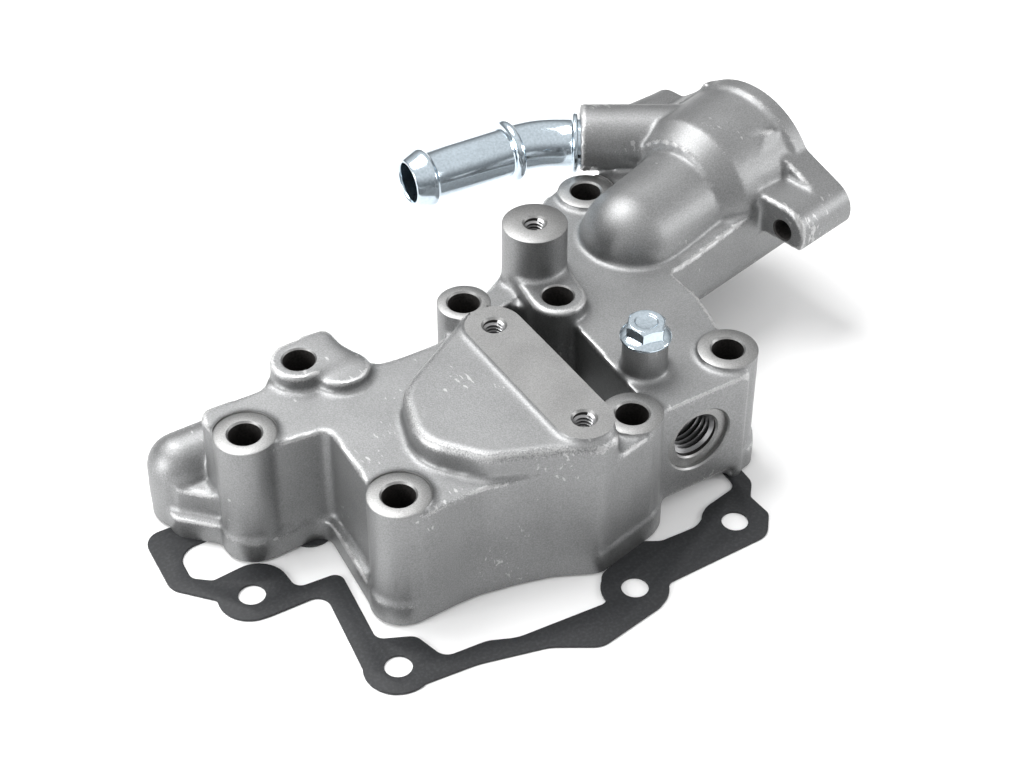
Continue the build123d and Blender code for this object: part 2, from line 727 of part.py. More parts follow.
nodes = {
    "housing": housing.part,
    "gasket": gasket.part,
    "hose_nozzle": hose_nozzle.part,
    "bleed_screw": bleed_screw.part,
    "thermostat_seal": thermostat_seal.part,
    "thermostat_frame": thermostat_frame.part,
    "thermostat_valve": thermostat_valve.part,
    "wax_capsule": wax_capsule.part,
    "piston_pin": piston_pin.part,
    "spring_bracket": spring_bracket.part,
    "main_spring": main_spring.part,
}
for name, part in nodes.items():
    part.label = name
    export_step(part, f"parts/{name}.step")
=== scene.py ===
"""Looks of a cast thermostat housing with its gasket, hose nozzle, bleed screw and thermostat.

Everything is in metres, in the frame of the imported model: +Z points away from the engine, and the origin is on
the axis of bolt hole F, in the gasket face.
"""
import json
import logging
import math
from dataclasses import dataclass
from enum import Enum, IntEnum

import bmesh
import bpy
import numpy as np
from mathutils import Matrix, Vector


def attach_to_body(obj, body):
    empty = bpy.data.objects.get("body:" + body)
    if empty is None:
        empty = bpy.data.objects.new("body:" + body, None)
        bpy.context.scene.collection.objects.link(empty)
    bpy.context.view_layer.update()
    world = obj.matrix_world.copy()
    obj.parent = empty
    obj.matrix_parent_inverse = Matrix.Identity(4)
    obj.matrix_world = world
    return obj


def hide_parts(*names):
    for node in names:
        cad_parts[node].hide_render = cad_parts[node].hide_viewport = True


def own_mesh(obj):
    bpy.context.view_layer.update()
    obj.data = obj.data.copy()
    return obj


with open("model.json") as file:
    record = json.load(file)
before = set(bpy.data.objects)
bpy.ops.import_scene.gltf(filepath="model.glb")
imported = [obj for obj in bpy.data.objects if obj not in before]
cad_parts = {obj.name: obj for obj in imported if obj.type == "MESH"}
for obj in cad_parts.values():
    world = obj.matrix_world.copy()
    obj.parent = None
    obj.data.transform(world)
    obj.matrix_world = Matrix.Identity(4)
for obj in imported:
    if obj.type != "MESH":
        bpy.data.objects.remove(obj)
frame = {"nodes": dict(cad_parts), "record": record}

MM = 0.001
UP = Vector((0, 0, 1))
CREST = "crest"
CASTING_BODY = "casting"
VALVE_BODY = "valve"
WELD = 0.002 * MM
SCREW_SEAT = Vector((14.6, 15.5, 48.2)) * MM
GRAIN_RANGE = (0.50, 0.85)
CREST_RANGE = (1.00, 1.55)
NICK_RANGE = (0.41, 0.47)
ROUGHNESS_SPREAD = 0.05

log = logging.getLogger("thermostat_housing")


class Slot(Enum):
    """Material slots of the record."""

    CAST = "cast_metal"
    PLATED = "plated_steel"
    FIBRE = "gasket_fibre"
    RUBBER = "seal_rubber"
    STEEL = "stainless_steel"
    BRASS = "capsule_brass"


class Machining(Enum):
    """How a closed shape changes a piece."""

    ADD = "UNION"
    CUT = "DIFFERENCE"
    KEEP = "INTERSECT"


class Skin(IntEnum):
    """Which of the casting's materials a face has."""

    CAST = 0
    MACHINED = 1
    # near-black hole-wall finish: painted shade deep in the holes
    PAINTED_SHADE_BORE = 2
    THREAD = 3


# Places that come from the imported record

def mount_place(name: str) -> tuple[Vector, Vector, float, float]:
    """Where a round mount is.

    Args:
        name: The mount's name.

    Returns:
        Its point, its axis, its radius and its length, in metres.
    """
    found = next(m for m in frame["record"]["mounts"] if m["name"] == name)
    dims = found["dims"]
    radius, length = dims.get("r_mm", 0) * MM, dims.get("length_mm", 0) * MM
    return Vector(found["pos_m"]), Vector(found["axis"]).normalized(), radius, length


def facing(origin: Vector, direction: Vector) -> Matrix:
    """A matrix whose Z is the direction.

    Args:
        origin: Where the frame stands.
        direction: Where its Z points.

    Returns:
        The 4 by 4 matrix. Its Y is up, or along the row's Y where the direction is upright.
    """
    z = direction.normalized()
    y = Vector((0, 1, 0)) if abs(z.dot(UP)) > 0.9 else UP
    x = y.cross(z).normalized()
    return Matrix.Translation(origin) @ Matrix((x, z.cross(x), z)).transposed().to_4x4()


# Mesh helpers

def skin_rings(bm: bmesh.types.BMesh, rings: list[tuple[Matrix, float]], segments: int, closed: bool = False,
               materials: list[int] | None = None) -> None:
    """Grow a skin from ring to ring.

    Args:
        bm: The mesh to add to.
        rings: Each ring's frame and radius. A ring lies in its frame's XY plane.
        segments: How many sides each ring has.
        closed: Whether the last ring meets the first. If not, both ends are capped.
        materials: The material index of the skin behind each ring.
    """
    row = rings + rings[:1] if closed else rings
    matrix, radius = row[0]
    made = bmesh.ops.create_circle(bm, segments=segments, radius=radius, matrix=matrix)
    back = matrix.inverted()
    spokes = {vert: (back @ vert.co) / radius for vert in made["verts"]}
    edges = list({edge for vert in made["verts"] for edge in vert.link_edges})
    first, skin = edges, []
    for number, (matrix, radius) in enumerate(row[1:]):
        grown = bmesh.ops.extrude_edge_only(bm, edges=edges)["geom"]
        fresh = {}
        for vert in (item for item in grown if isinstance(item, bmesh.types.BMVert)):
            old = next(edge.other_vert(vert) for edge in vert.link_edges if edge.other_vert(vert) in spokes)
            fresh[vert] = spokes[old]
            vert.co = matrix @ (spokes[old] * radius)
        edges = [item for item in grown
                 if isinstance(item, bmesh.types.BMEdge) and set(item.verts) <= fresh.keys()]
        faces = [item for item in grown if isinstance(item, bmesh.types.BMFace)]
        for face in faces:
            face.material_index = materials[number] if materials else 0
        skin += faces
        spokes = fresh
    if closed:
        seam = {vert for edge in first + edges for vert in edge.verts}
        bmesh.ops.remove_doubles(bm, verts=list(seam), dist=0.0001 * MM)
    else:
        for number, loop in ((0, first), (-1, edges)):
            cap = bmesh.ops.contextual_create(bm, geom=loop)
            for face in cap["faces"]:
                face.material_index = materials[number] if materials else 0
            skin += cap["faces"]
    bmesh.ops.recalc_face_normals(bm, faces=[face for face in skin if face.is_valid])


def turned(bm: bmesh.types.BMesh, origin: Vector, axis: Vector, profile: list[tuple[float, float]],
           segments: int = 96, materials: list[int] | None = None) -> None:
    """Add a solid turned about an axis.

    Args:
        bm: The mesh to add to.
        origin: The axis's start.
        axis: The axis's direction.
        profile: Distances along the axis, each with its radius.
        segments: How many sides the solid has.
        materials: The material index of the skin behind each point of the profile.
    """
    rings = [(facing(origin + axis * along, axis), radius) for along, radius in profile]
    skin_rings(bm, rings, segments, materials=materials)


def mesh_piece(name: str, bm: bmesh.types.BMesh, finishes: list[bpy.types.Material],
               crease_angle: float = 35.0) -> bpy.types.Object:
    """Turn a bmesh into a shaded object at the origin.

    Args:
        name: The piece's name.
        bm: The mesh, which is freed.
        finishes: The piece's materials, by index.
        crease_angle: Edges sharper than this stay crisp, in degrees.

    Returns:
        The new object, linked to the scene.
    """
    mesh = bpy.data.meshes.new(name)
    bm.to_mesh(mesh)
    bm.free()
    for finish in finishes:
        mesh.materials.append(finish)
    piece = bpy.data.objects.new(name, mesh)
    bpy.context.scene.collection.objects.link(piece)
    shade(piece, crease_angle)
    return piece


def shade(piece: bpy.types.Object, crease_angle: float) -> None:
    """Shade a piece smooth. Edges sharper than the angle and edges between two finishes stay crisp."""
    piece.data.shade_smooth()
    piece.data.set_sharp_from_angle(angle=math.radians(crease_angle))
    bm = bmesh.new()
    bm.from_mesh(piece.data)
    for edge in bm.edges:
        if len({face.material_index for face in edge.link_faces}) > 1:
            edge.smooth = False
    bm.to_mesh(piece.data)
    bm.free()


def apply_modifiers(piece: bpy.types.Object) -> None:
    """Bake a piece's modifiers into its mesh."""
    graph = bpy.context.evaluated_depsgraph_get()
    baked = bpy.data.meshes.new_from_object(piece.evaluated_get(graph), depsgraph=graph)
    old = piece.data
    piece.modifiers.clear()
    piece.data = baked
    bpy.data.meshes.remove(old)


def merge_with(piece: bpy.types.Object, bm: bmesh.types.BMesh, machining: Machining) -> None:
    """Add a closed shape to a piece, take it away, or keep only what both share.

    Args:
        piece: The piece, which is changed.
        bm: The closed shape, which is freed.
        machining: What the shape does to the piece.
    """
    tool = mesh_piece("tool", bm, list(piece.data.materials))
    step = piece.modifiers.new("machining", "BOOLEAN")
    step.operation = machining.value
    step.solver = "MANIFOLD"
    step.material_mode = "TRANSFER"
    step.object = tool
    apply_modifiers(piece)
    bpy.data.objects.remove(tool)


def round_edges(piece: bpy.types.Object, width: float, angle: float) -> None:
    """Round the edges of a piece that are sharper than the angle, given in degrees."""
    edges = piece.modifiers.new("edges", "BEVEL")
    edges.width = width
    edges.segments = 2
    edges.limit_method = "ANGLE"
    edges.angle_limit = math.radians(angle)
    apply_modifiers(piece)


def thread_ridge(bm: bmesh.types.BMesh, start: Vector, axis: Vector, radius: float, pitch: float, length: float,
                 material: int = 0, steps: int = 28) -> None:
    """Add the helical ridge of a threaded hole, a closed three-sided strand that stands in the wall.

    Args:
        bm: The mesh to add to.
        start: The thread's centre at its inner end.
        axis: The way out of the hole.
        radius: The hole's radius, which is the thread's outer radius.
        pitch: The rise of one turn.
        length: The thread's length.
        material: The ridge's material index.
        steps: How many steps one turn has.
    """
    side = facing(start, axis).to_3x3().col[0].normalized()
    across = axis.cross(side)
    tooth = Matrix((axis, -side, -across)).transposed().to_4x4()
    tooth.translation = start + side * (radius - 0.19 * pitch) + axis * 0.5 * pitch
    made = bmesh.ops.create_circle(bm, segments=3, radius=0.42 * pitch, matrix=tooth)
    edges = list({edge for vert in made["verts"] for edge in vert.link_edges})
    turns = (length - pitch) / pitch
    count = int(turns * steps)
    known = set(bm.faces)
    swept = bmesh.ops.spin(bm, geom=made["verts"] + edges, cent=start, axis=axis, dvec=axis * (pitch / steps),
                           angle=2 * math.pi * count / steps, steps=count)
    ends = (edges, [edge for edge in swept["geom_last"] if isinstance(edge, bmesh.types.BMEdge)])
    for end in ends:
        bmesh.ops.contextual_create(bm, geom=end)
    fresh = [face for face in bm.faces if face not in known]
    for face in fresh:
        face.material_index = material
    bmesh.ops.recalc_face_normals(bm, faces=fresh)


# Finishes

@dataclass(frozen=True)
class MetalFinish:
    """A metal surface: a base colour that varies, fine grain, and brighter crests that are partly worn edges and
    partly painted highlight.

    Attributes:
        name: The material's name.
        colour: The main colour.
        worn_and_highlight_colour: The colour on worn crests and nicks; on the crests it is also a painted highlight.
        roughness: The main roughness.
        grain_size: The size of the grain, in metres.
        grain_depth: The depth of the grain, in metres.
        mottle: How far the colour varies, as a share.
        crest_wear_and_highlight: How strongly the brighter crests show, worn edges and painted highlight together,
            from 0 to 1.
        scratches: How strongly fine bright nicks show, from 0 to 1.
        metallic: How metallic the surface is, from 0 to 1.
    """

    name: str
    colour: tuple[float, float, float]
    worn_and_highlight_colour: tuple[float, float, float] = (0.9, 0.9, 0.9)
    roughness: float = 0.4
    grain_size: float = 0.0003
    grain_depth: float = 0.00004
    mottle: float = 0.1
    crest_wear_and_highlight: float = 0.0
    scratches: float = 0.0
    metallic: float = 1.0

    def material(self) -> bpy.types.Material:
        """Build the finish as a node material."""
        made = bpy.data.materials.new(self.name)
        made.use_nodes = True
        nodes, links = made.node_tree.nodes, made.node_tree.links
        shader = nodes["Principled BSDF"]
        shader.inputs["Metallic"].default_value = self.metallic
        place = nodes.new("ShaderNodeTexCoord").outputs["Object"]
        grain = self._noise(made, place, 1 / self.grain_size, 3.0)
        cloud = self._noise(made, place, 0.03 / self.grain_size, 4.0)

        both = nodes.new("ShaderNodeMath")
        both.operation = "MULTIPLY_ADD"
        both.inputs[1].default_value = 0.35
        links.new(cloud, both.inputs[0])
        links.new(grain, both.inputs[2])
        spread = nodes.new("ShaderNodeMapRange")
        spread.inputs["From Min"].default_value = GRAIN_RANGE[0]
        spread.inputs["From Max"].default_value = GRAIN_RANGE[1]
        spread.inputs["To Min"].default_value = 1 - self.mottle
        spread.inputs["To Max"].default_value = 1 + self.mottle
        links.new(both.outputs[0], spread.inputs["Value"])
        tint = nodes.new("ShaderNodeMix")
        tint.data_type = "RGBA"
        tint.blend_type = "MULTIPLY"
        tint.inputs["Factor"].default_value = 1.0
        tint.inputs["A"].default_value = (*self.colour, 1)
        links.new(spread.outputs["Result"], tint.inputs["B"])
        colour = tint.outputs["Result"]
        # Brighter convex crests: partly worn edges, partly painted highlight where the edges catch the light.
        if self.crest_wear_and_highlight:
            colour = self._lay_wear_and_highlight(made, colour, self._wear_and_highlight_mask(made, grain))
        if self.scratches:
            colour = self._lay_wear_and_highlight(made, colour, self._nicks(made, place))
        links.new(colour, shader.inputs["Base Color"])

        rough = nodes.new("ShaderNodeMapRange")
        rough.inputs["To Min"].default_value = self.roughness - ROUGHNESS_SPREAD
        rough.inputs["To Max"].default_value = self.roughness + ROUGHNESS_SPREAD
        links.new(cloud, rough.inputs["Value"])
        links.new(rough.outputs["Result"], shader.inputs["Roughness"])
        bump = nodes.new("ShaderNodeBump")
        bump.inputs["Strength"].default_value = 0.8
        bump.inputs["Distance"].default_value = self.grain_depth
        links.new(grain, bump.inputs["Height"])
        links.new(bump.outputs["Normal"], shader.inputs["Normal"])
        return made

    def _noise(self, made: bpy.types.Material, place: bpy.types.NodeSocket, scale: float,
               detail: float) -> bpy.types.NodeSocket:
        """A noise of the given scale and detail, as a value around one half."""
        noise = made.node_tree.nodes.new("ShaderNodeTexNoise")
        noise.inputs["Scale"].default_value = scale
        noise.inputs["Detail"].default_value = detail
        made.node_tree.links.new(place, noise.inputs["Vector"])
        return noise.outputs["Fac"]

    def _mask(self, made: bpy.types.Material, value: bpy.types.NodeSocket, low: float, high: float,
              top: float) -> bpy.types.NodeSocket:
        """A soft step of a value between two levels, up to the given top."""
        mask = made.node_tree.nodes.new("ShaderNodeMapRange")
        mask.interpolation_type = "SMOOTHSTEP"
        mask.inputs["From Min"].default_value = low
        mask.inputs["From Max"].default_value = high
        mask.inputs["To Max"].default_value = top
        made.node_tree.links.new(value, mask.inputs["Value"])
        return mask.outputs["Result"]

    def _wear_and_highlight_mask(self, made: bpy.types.Material, grain: bpy.types.NodeSocket) -> bpy.types.NodeSocket:
        """Where the piece's crest attribute and the grain together mark a worn edge, which also carries a painted
        highlight.
        """
        crest = made.node_tree.nodes.new("ShaderNodeAttribute")
        crest.attribute_name = CREST
        broken = made.node_tree.nodes.new("ShaderNodeMath")
        broken.operation = "MULTIPLY_ADD"
        broken.inputs[1].default_value = 1.1
        made.node_tree.links.new(grain, broken.inputs[0])
        made.node_tree.links.new(crest.outputs["Fac"], broken.inputs[2])
        return self._mask(made, broken.outputs[0], *CREST_RANGE, self.crest_wear_and_highlight)

    def _nicks(self, made: bpy.types.Material, place: bpy.types.NodeSocket) -> bpy.types.NodeSocket:
        """Sparse fine nicks, stretched one way, where two noises are both high."""
        nodes, links = made.node_tree.nodes, made.node_tree.links
        stretch = nodes.new("ShaderNodeMapping")
        stretch.inputs["Scale"].default_value = (1.0, 0.35, 0.6)
        stretch.inputs["Rotation"].default_value = (0.3, 0.2, 0.7)
        links.new(place, stretch.inputs["Vector"])
        fine = self._noise(made, stretch.outputs["Vector"], 900.0, 2.0)
        wide = self._noise(made, place, 60.0, 1.0)
        both = nodes.new("ShaderNodeMath")
        both.operation = "MULTIPLY"
        links.new(fine, both.inputs[0])
        links.new(wide, both.inputs[1])
        return self._mask(made, both.outputs[0], *NICK_RANGE, self.scratches)

    def _lay_wear_and_highlight(self, made: bpy.types.Material, colour: bpy.types.NodeSocket,
              mask: bpy.types.NodeSocket) -> bpy.types.NodeSocket:
        """Lay the worn colour over the colour so far, where the mask says: on nicks as wear, on crests as wear and
        painted highlight.
        """
        mix = made.node_tree.nodes.new("ShaderNodeMix")
        mix.data_type = "RGBA"
        mix.inputs["B"].default_value = (*self.worn_and_highlight_colour, 1)
        made.node_tree.links.new(mask, mix.inputs["Factor"])
        made.node_tree.links.new(colour, mix.inputs["A"])
        return mix.outputs["Result"]


@dataclass(frozen=True)
class MattFinish:
    """A matt surface of fibre or rubber: a dark colour with fine speckles and a soft bump.

    Attributes:
        name: The material's name.
        colour: The main colour.
        speck_colour: The colour of the speckles.
        roughness: The roughness.
        grain_size: The size of the speckles, in metres.
    """

    name: str
    colour: tuple[float, float, float]
    speck_colour: tuple[float, float, float]
    roughness: float = 0.75
    grain_size: float = 0.0006

    def material(self) -> bpy.types.Material:
        """Build the finish as a node material."""
        made = bpy.data.materials.new(self.name)
        made.use_nodes = True
        nodes, links = made.node_tree.nodes, made.node_tree.links
        shader = nodes["Principled BSDF"]
        shader.inputs["Roughness"].default_value = self.roughness
        place = nodes.new("ShaderNodeTexCoord").outputs["Object"]
        grain = nodes.new("ShaderNodeTexNoise")
        grain.inputs["Scale"].default_value = 1 / self.grain_size
        grain.inputs["Detail"].default_value = 4.0
        links.new(place, grain.inputs["Vector"])
        ramp = nodes.new("ShaderNodeValToRGB")
        ramp.color_ramp.elements[0].position = 0.45
        ramp.color_ramp.elements[0].color = (*self.colour, 1)
        ramp.color_ramp.elements[1].position = 0.75
        ramp.color_ramp.elements[1].color = (*self.speck_colour, 1)
        links.new(grain.outputs["Fac"], ramp.inputs["Fac"])
        links.new(ramp.outputs["Color"], shader.inputs["Base Color"])
        bump = nodes.new("ShaderNodeBump")
        bump.inputs["Strength"].default_value = 0.5
        bump.inputs["Distance"].default_value = 0.00003
        links.new(grain.outputs["Fac"], bump.inputs["Height"])
        links.new(bump.outputs["Normal"], shader.inputs["Normal"])
        return made


# The cast finish's brighter crests are partly wear and partly painted highlight.
CAST = MetalFinish("cast_aluminium", (0.278, 0.281, 0.283), worn_and_highlight_colour=(0.68, 0.68, 0.68), roughness=0.50,
                   grain_size=0.0004, grain_depth=0.00006, mottle=0.16, crest_wear_and_highlight=0.55, scratches=0.5)
MACHINED = MetalFinish("machined_aluminium", (0.30, 0.30, 0.298), roughness=0.45, grain_size=0.0003,
                       grain_depth=0.00003, mottle=0.16)
# Near-black finish on the walls of deep holes: painted shade, since the real walls are bright aluminium.
PAINTED_SHADE_BORE = MetalFinish("bore_painted_shade", (0.020, 0.018, 0.017), roughness=0.6, metallic=0.1, grain_size=0.0006, mottle=0.6)
THREAD = MetalFinish("cut_thread", (0.34, 0.34, 0.345), roughness=0.30, grain_size=0.0003, grain_depth=0.00001)
ZINC = MetalFinish("clear_zinc", (0.60, 0.69, 0.76), roughness=0.15, grain_size=0.0008, grain_depth=0.00001,
                   mottle=0.08)
STAMPED = MetalFinish("stamped_steel", (0.52, 0.52, 0.51), roughness=0.3, grain_size=0.0005, grain_depth=0.00002)
BRASS = MetalFinish("turned_brass", (0.66, 0.48, 0.22), roughness=0.28, grain_size=0.0005, grain_depth=0.00002)
FIBRE = MattFinish("gasket_fibre", (0.014, 0.015, 0.017), (0.030, 0.032, 0.035), roughness=0.62, grain_size=0.0009)
RUBBER = MattFinish("seal_rubber", (0.01, 0.01, 0.01), (0.02, 0.02, 0.02), roughness=0.5)


# The casting

@dataclass(frozen=True)
class Bore:
    """A machined hole with its machined face.

    Attributes:
        face: The centre of its face.
        axis: The way out of the hole.
        radius: The hole's radius.
        depth: How deep it goes from its face.
        boss_radius: The radius that is machined flat round it, or 0 where the cast face stays.
        seat: The radius and depth of a step at its mouth, if it has one.
        chamfer: The chamfer at its mouth.
        pitch: The pitch of its thread, or 0 for a plain hole.
        through: Whether it comes out at its inner end.
    """

    face: Vector
    axis: Vector
    radius: float
    depth: float
    boss_radius: float = 0.0
    seat: tuple[float, float] = (0.0, 0.0)
    chamfer: float = 0.5 * MM
    pitch: float = 0.0
    through: bool = False

    def plug(self, bm: bmesh.types.BMesh, stock: float, spare: float = MM) -> None:
        """Add the cast metal that fills the hole before it is machined.

        Args:
            bm: The mesh to add to.
            stock: How far the plug stands out of a face that is machined flat.
            spare: How much wider than the hole the plug is.
        """
        radius = max(self.radius, self.seat[0]) + spare
        top = stock if self.boss_radius else -0.2 * MM
        turned(bm, self.face, self.axis, [(0.2 * MM - self.depth, radius), (top, radius)], 64)

    def tool(self, stock: float) -> bmesh.types.BMesh:
        """The shape that machining takes away, with its hole, step, chamfer and flat face.

        Args:
            stock: The spare metal above the face.

        Returns:
            The closed shape.
        """
        seat_radius, seat_depth = self.seat
        if self.through:
            past = 3 * MM
            profile = [(-self.depth - past, self.radius + past + self.chamfer),
                       (self.chamfer - self.depth, self.radius)]
        else:
            profile = [(-self.depth - self.radius / 2, 0.2 * self.radius), (-self.depth, self.radius)]
        # The hole's walls take the near-black finish, which is painted shade.
        skins = [Skin.PAINTED_SHADE_BORE] * 2
        rim = self.radius
        if seat_radius:
            profile += [(-seat_depth - self.chamfer, self.radius), (-seat_depth, self.radius + self.chamfer),
                        (-seat_depth, seat_radius)]
            skins += [Skin.MACHINED] * 3
            rim = seat_radius
        profile += [(-self.chamfer, rim), (0.0, rim + self.chamfer)]
        skins += [Skin.MACHINED] * 2
        if self.boss_radius:
            edge, clear = 0.4 * MM, self.boss_radius + 0.25 * MM
            profile += [(0.0, self.boss_radius - edge), (-edge, clear), (stock + MM, clear)]
            skins += [Skin.MACHINED] * 3
        else:
            profile += [(stock, rim + self.chamfer)]
            skins += [Skin.MACHINED]
        bm = bmesh.new()
        turned(bm, self.face, self.axis, profile, materials=skins[:len(profile) - 1] + [Skin.MACHINED])
        return bm

    def thread(self, bm: bmesh.types.BMesh) -> None:
        """Add the hole's thread, if it has one."""
        if not self.pitch:
            return
        start = self.face - self.axis * (self.depth - 0.5 * MM)
        length = self.depth - 0.5 * MM - self.seat[1] - 0.6 * self.chamfer
        thread_ridge(bm, start, self.axis, self.radius, self.pitch, length, Skin.THREAD)


@dataclass
class Casting:
    """The cast housing, made as the real one is: cast with soft edges and spare metal, then machined.

    Attributes:
        voxel: The spacing of the cast surface's points.
        stock: The spare metal on each machined face.
        softening: How many passes soften the cast edges.
        kept_share: The share of the cast surface's faces that is kept.
        faced_levels: The heights of the tops that are machined flat.
        tolerance: How near a point has to be to count as on a level.
        lobe: The middle of the rear lobe, which is cast rounder than the rest.
        lobe_reach: How far that extra rounding goes.
        lobe_softening: How many passes round the lobe.
        bolt_bosses: The bolt holes, each with the radius machined round it in millimetres, or 0.
        tapped_holes: The small tapped holes, each with its top and the radius machined round it in millimetres.
        port: The middle of the sensor port's face.
        pad_ends: The middles of the pad's two round ends.
        pad_radius: The radius of those ends.
        wall_line: The outer foot of the side wall, in millimetres.
        wall_thickness: The side wall's thickness, in millimetres.
        wall_foot: The height of the side wall's foot, in millimetres.
        wall_rise: The way from the side wall's foot to its top.
    """

    voxel: float = 0.75 * MM
    stock: float = 2.0 * MM
    softening: int = 7
    kept_share: float = 0.42
    faced_levels: tuple[float, ...] = (39.2 * MM, 45.5 * MM, 47.5 * MM, 48.2 * MM, 56.5 * MM)
    tolerance: float = 0.02 * MM
    lobe: Vector = Vector((-57.0, 60.5, 42.0)) * MM
    lobe_reach: float = 11.0 * MM
    lobe_softening: int = 90
    bolt_bosses: tuple[tuple[str, float], ...] = (("a", 8.5), ("b", 0.0), ("c", 8.5), ("d", 7.6), ("e", 0.0),
                                                  ("f", 8.5), ("g", 8.5), ("h", 8.5))
    tapped_holes: tuple[tuple[str, float, float], ...] = (("pad_hole_rear", 47.5, 0.0), ("pad_hole_front", 47.5, 0.0),
                                                          ("stud_hole", 56.5, 9.4))
    port: Vector = Vector((21.5, -2.6, 21.0)) * MM
    pad_ends: tuple[Vector, Vector] = (Vector((-17.2, 42.3, 47.5)) * MM, Vector((-17.2, -2.5, 47.5)) * MM)
    pad_radius: float = 8.3 * MM
    wall_line: tuple[tuple[float, float], ...] = ((44.0, 16.5), (47.7, 34.0), (48.2, 59.0))
    wall_thickness: float = 3.4
    wall_foot: float = 1.5
    wall_rise: Vector = Vector((-2.2, 0, 32.3)) * MM

    def build(self) -> bpy.types.Object:
        """Cast, soften and machine the housing.

        Returns:
            The finished piece, which stands for the housing node.
        """
        bores = self.bores()
        cast = self.rough_casting(bores)
        self.soften(cast)
        # The crest attribute places the worn edges and painted highlight of the cast finish.
        mark_crests(cast)
        self.square_off(cast)
        for bore in bores:
            merge_with(cast, bore.tool(self.stock), Machining.CUT)
        self.cut_threads(cast, bores)
        shade(cast, 38.0)
        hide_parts("housing")
        return cast

    def bores(self) -> list[Bore]:
        """Every machined hole of the housing."""
        made = []
        for name, boss_radius in self.bolt_bosses:
            point, axis, radius, length = mount_place(f"bolt_hole_{name}")
            depth = length + 0.5 * MM
            made.append(Bore(point + axis * depth, axis, radius, depth, boss_radius * MM, through=True))
        for name, top, boss_radius in self.tapped_holes:
            point, axis, radius, length = mount_place(name)
            point.z = top * MM
            made.append(Bore(point, axis, radius, 12 * MM, boss_radius * MM, chamfer=0.6 * MM, pitch=1.1 * MM))
        made.append(Bore(SCREW_SEAT, UP, 3.1 * MM, 10 * MM, 6.4 * MM))
        made.append(Bore(self.port, Vector((0, -1, 0)), 7.0 * MM, 13.9 * MM, seat=(10.0 * MM, 1.6 * MM),
                         pitch=1.8 * MM, through=True))
        for name in ("ear_hole_near", "ear_hole_far"):
            point, axis, radius, length = mount_place(name)
            made.append(Bore(point + axis * length / 2, axis, radius, length, 4.6 * MM, through=True))
        return made

    def rough_casting(self, bores: list[Bore]) -> bpy.types.Object:
        """Copy the housing node, give it spare metal and fill its holes.

        Args:
            bores: The holes to fill.

        Returns:
            The rough casting.
        """
        bm = bmesh.new()
        bm.from_mesh(frame["nodes"]["housing"].data)
        bmesh.ops.remove_doubles(bm, verts=bm.verts, dist=WELD)
        point, out, _, _ = mount_place("mouth_face")
        mouth = point.dot(out)
        for vert in bm.verts:
            if vert.co.z < self.tolerance:
                vert.co.z -= self.stock
            elif vert.co.dot(out) > mouth - self.tolerance:
                vert.co += out * self.stock
            elif any(abs(vert.co.z - level) < self.tolerance for level in self.faced_levels):
                vert.co.z += self.stock
        # The third material is the near-black finish of hole walls, painted shade.
        piece = mesh_piece("housing_casting", bm, [CAST.material(), MACHINED.material(), PAINTED_SHADE_BORE.material(),
                                                   THREAD.material()])
        plugs = bmesh.new()
        for bore in bores:
            bore.plug(plugs, self.stock)
        self.side_wall(plugs)
        merge_with(piece, plugs, Machining.ADD)
        return piece

    def side_wall(self, bm: bmesh.types.BMesh) -> None:
        """Add the wall between the deck and the flange on the side turned away from the photo.

        Args:
            bm: The mesh to add to.
        """
        outer = [Vector((x, y, 0)) for x, y in self.wall_line]
        inner = [point - Vector((self.wall_thickness, 0, 0)) for point in reversed(outer)]
        foot = [bm.verts.new((point + Vector((0, 0, self.wall_foot))) * MM) for point in outer + inner]
        sole = bm.faces.new(foot)
        grown = bmesh.ops.extrude_face_region(bm, geom=[sole], use_keep_orig=True)["geom"]
        top = [item for item in grown if isinstance(item, bmesh.types.BMVert)]
        bmesh.ops.translate(bm, verts=top, vec=self.wall_rise)
        bmesh.ops.recalc_face_normals(bm, faces=bm.faces)

    def soften(self, piece: bpy.types.Object) -> None:
        """Round the cast edges and corners, and thin the mesh where it is flat."""
        remesh = piece.modifiers.new("skin", "REMESH")
        remesh.mode = "VOXEL"
        remesh.voxel_size = self.voxel * 1
        smooth = piece.modifiers.new("soft", "SMOOTH")
        smooth.factor = 0.5
        smooth.iterations = self.softening
        apply_modifiers(piece)
        group = piece.vertex_groups.new(name="lobe")
        for vert in piece.data.vertices:
            near = 1 - (vert.co - self.lobe).length / self.lobe_reach
            if near > 0:
                group.add([vert.index], min(1.0, 2 * near), "REPLACE")
        lobe = piece.modifiers.new("lobe", "SMOOTH")
        lobe.factor = 0.5
        lobe.iterations = self.lobe_softening
        lobe.vertex_group = group.name
        thin = piece.modifiers.new("thin", "DECIMATE")
        thin.ratio = self.kept_share
        apply_modifiers(piece)
        log.info("casting after softening: %d faces", len(piece.data.polygons))

